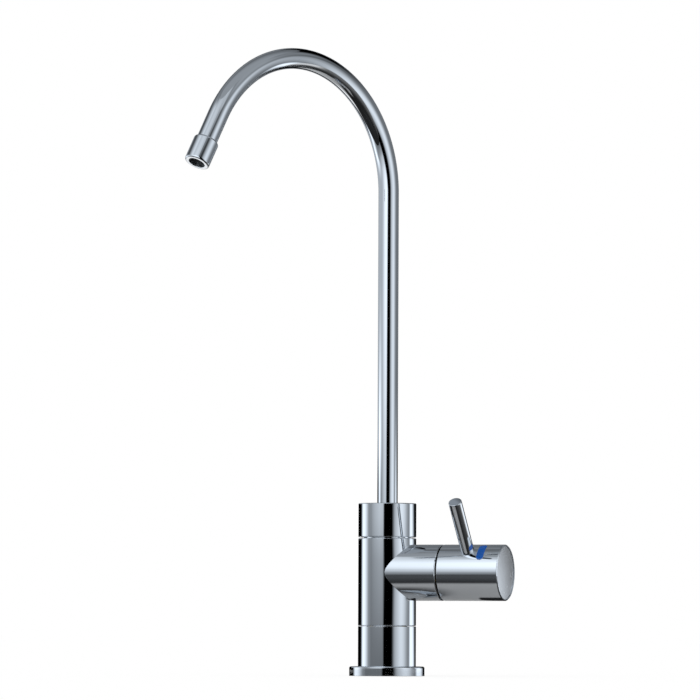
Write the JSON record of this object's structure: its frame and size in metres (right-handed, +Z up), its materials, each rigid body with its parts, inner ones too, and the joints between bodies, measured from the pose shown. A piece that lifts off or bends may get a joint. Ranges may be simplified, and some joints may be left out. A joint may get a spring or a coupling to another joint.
{
  "type": "faucet",
  "caption": "Deck-mounted drinking-water faucet with a slim swivelling gooseneck spout, a side handle turned by a pin lever, and a threaded shank with a lock nut.",
  "frame": {"origin": "centre of the base flange's underside, in the plane of the deck's top face", "axes": "+Z up out of the deck, +X along the side branch and handle, -Y towards the user"},
  "size_m": [0.1293, 0.1486, 0.3711],
  "materials": {
    "chrome_plate": "mirror-bright chromium plate",
    "satin_face": "fine satin brushed",
    "raw_brass": "machined",
    "stainless": "pressed, dull",
    "black_rubber": "moulded, matt",
    "alumina": "lapped ceramic",
    "white_acetal": "moulded",
    "grey_insert": "moulded",
    "blue_mark": "smooth"
  },
  "bodies": {
    "valve": {"valve_body": "chrome_plate", "base_sleeve": "chrome_plate", "base_flange": "chrome_plate", "deck_seal": "black_rubber", "mounting_shank": "raw_brass", "shank_washer": "black_rubber", "seat_seal": "black_rubber", "fixed_disc": "alumina", "cartridge_housing": "raw_brass", "housing_seal": "black_rubber", "glide_ring": "white_acetal"},
    "handle": {"handle_sleeve": "chrome_plate", "handle_hub": "white_acetal", "handle_end_disc": "satin_face", "lever_pin": "chrome_plate", "cold_mark": "blue_mark", "grub_screw": "stainless", "spindle": "raw_brass", "spindle_seals": "black_rubber", "spindle_clip": "stainless", "thrust_washer": "white_acetal", "moving_disc": "alumina"},
    "spout": {"spout_tube": "chrome_plate", "spout_collar": "chrome_plate", "spout_bushing": "raw_brass", "swivel_seals": "black_rubber", "retaining_ring": "stainless", "spout_nozzle": "chrome_plate", "stream_straightener": "grey_insert", "nozzle_washer": "black_rubber"},
    "clamp_set": {"lock_nut": "raw_brass", "clamp_washer": "stainless", "clamp_gasket": "black_rubber"}
  },
  "joints": [
    {"name": "spout_swivel", "type": "hinge", "parent": "valve", "child": "spout", "pos_m": [0, 0, 0.0762], "axis": [0, 0, 1], "continuous": true},
    {"name": "handle_turn", "type": "hinge", "parent": "valve", "child": "handle", "pos_m": [0.0316, 0, 0.0534], "axis": [1, 0, 0], "range_deg": [-39, 51]},
    {"name": "lock_nut_travel", "type": "slide", "parent": "valve", "child": "clamp_set", "axis": [0, 0, 1], "range_m": [-0.018, 0.01]}
  ]
}
